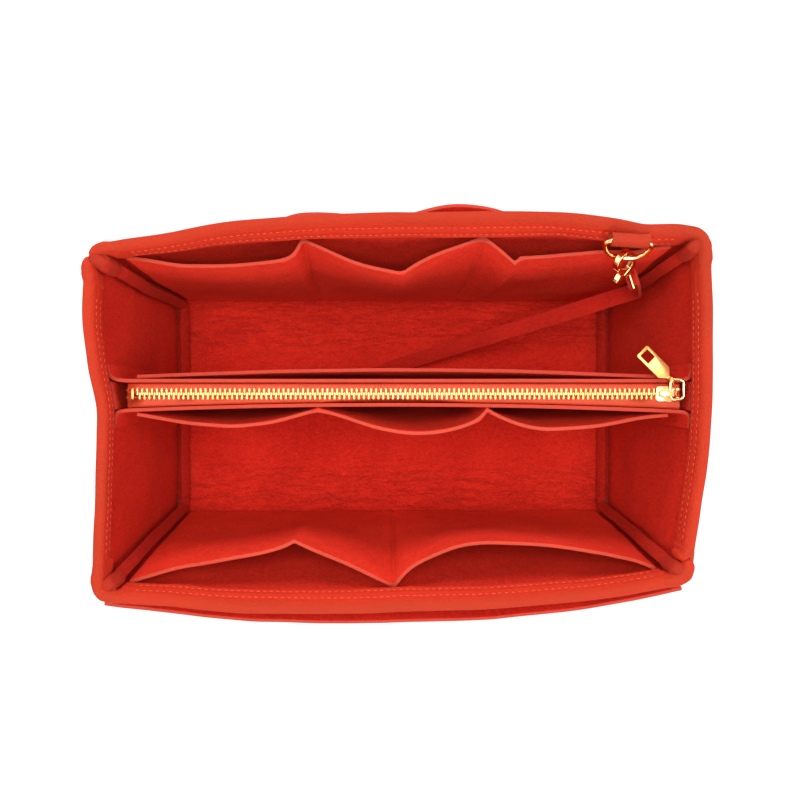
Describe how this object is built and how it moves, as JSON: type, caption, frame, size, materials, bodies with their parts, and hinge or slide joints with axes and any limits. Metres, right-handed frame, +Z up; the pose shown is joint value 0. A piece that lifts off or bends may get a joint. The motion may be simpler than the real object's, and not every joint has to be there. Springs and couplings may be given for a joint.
{
  "type": "purse organizer insert",
  "caption": "Open felt box insert for a handbag, with slip pockets inside and out, a zipped pouch as divider, and a key strap with snap hooks on a ring.",
  "frame": {"origin": "on the underside of the floor, at the floor's centre", "axes": "+X along the box from its left end to its right end, +Y from the front wall to the back wall, +Z up to the open top"},
  "size_m": [0.3156, 0.2202, 0.1747],
  "materials": {
    "felt": "soft napped red felt",
    "zip_tape": "woven orange-red tape",
    "gold_metal": "bright light-gold plate"
  },
  "bodies": {
    "shell": {"body_wrap": "felt", "left_side_panel": "felt", "right_side_panel": "felt", "left_seam_binding": "felt", "right_seam_binding": "felt", "back_inner_pockets": "felt", "front_inner_pockets": "felt", "front_outer_pocket": "felt", "back_outer_pockets": "felt", "ring_tab": "felt", "divider_front_panel": "felt", "divider_back_panel": "felt", "divider_front_pockets": "felt", "divider_back_pocket": "felt", "divider_left_end": "felt", "divider_right_end": "felt", "zip_tape_front": "zip_tape", "zip_tape_back": "zip_tape", "zip_teeth_front": "gold_metal", "zip_teeth_back": "gold_metal", "zip_bottom_stop": "gold_metal", "zip_top_stop_front": "gold_metal", "zip_top_stop_back": "gold_metal", "key_strap": "felt", "key_hook": "gold_metal", "key_swivel": "gold_metal"},
    "slider": {"zip_slider": "gold_metal"},
    "pull_link": {"zip_pull_link": "gold_metal"},
    "pull": {"zip_pull": "gold_metal"},
    "ring": {"d_ring": "gold_metal"},
    "swivel": {"swivel_eye": "gold_metal"},
    "hook": {"snap_hook": "gold_metal"},
    "gate": {"hook_gate": "gold_metal"},
    "far_gate": {"key_gate": "gold_metal"}
  },
  "joints": [
    {"name": "zip_slide", "type": "slide", "parent": "shell", "child": "slider", "axis": [-1, 0, 0], "range_m": [0, 0.262], "deforming": ["zip_teeth_front", "zip_teeth_back", "zip_tape_front", "zip_tape_back"]},
    {"name": "link_swing", "type": "hinge", "parent": "slider", "child": "pull_link", "pos_m": [0.1447, 0.0066, 0.151], "axis": [0, -1, 0], "range_deg": [0, 80]},
    {"name": "pull_swing", "type": "hinge", "parent": "pull_link", "child": "pull", "pos_m": [0.14534, 0.01346, 0.151], "axis": [0.7071, 0.7071, 0], "range_deg": [0, 100]},
    {"name": "leash_swing", "type": "hinge", "parent": "shell", "child": "swivel", "pos_m": [0.1193, 0.0827, 0.17099], "axis": [-0.9976, 0.0698, 0], "range_deg": [0, 45], "deforming": ["key_strap"]},
    {"name": "ring_swing", "type": "hinge", "parent": "shell", "child": "ring", "pos_m": [0.1193, 0.0827, 0.17099], "axis": [-0.9976, 0.0698, 0], "range_deg": [0, 45]},
    {"name": "hook_spin", "type": "hinge", "parent": "swivel", "child": "hook", "pos_m": [0.11876, 0.07514, 0.15673], "axis": [0.3841, -0.2261, -0.8952], "range_deg": [-40, 0]},
    {"name": "gate_open", "type": "hinge", "parent": "hook", "child": "gate", "pos_m": [0.12157, 0.07142, 0.14748], "axis": [-0.6872, 0.5772, -0.4411], "range_deg": [0, 22], "stiffness_Nm_per_rad": 0.05},
    {"name": "key_gate_open", "type": "hinge", "parent": "shell", "child": "far_gate", "pos_m": [-0.07962, 0.0098, 0.00468], "axis": [-0.058, 0, 0.9983], "range_deg": [0, 22], "stiffness_Nm_per_rad": 0.05}
  ],
  "couplings": [
    {"joint": "ring_swing", "follows": "leash_swing", "ratio": 1}
  ]
}
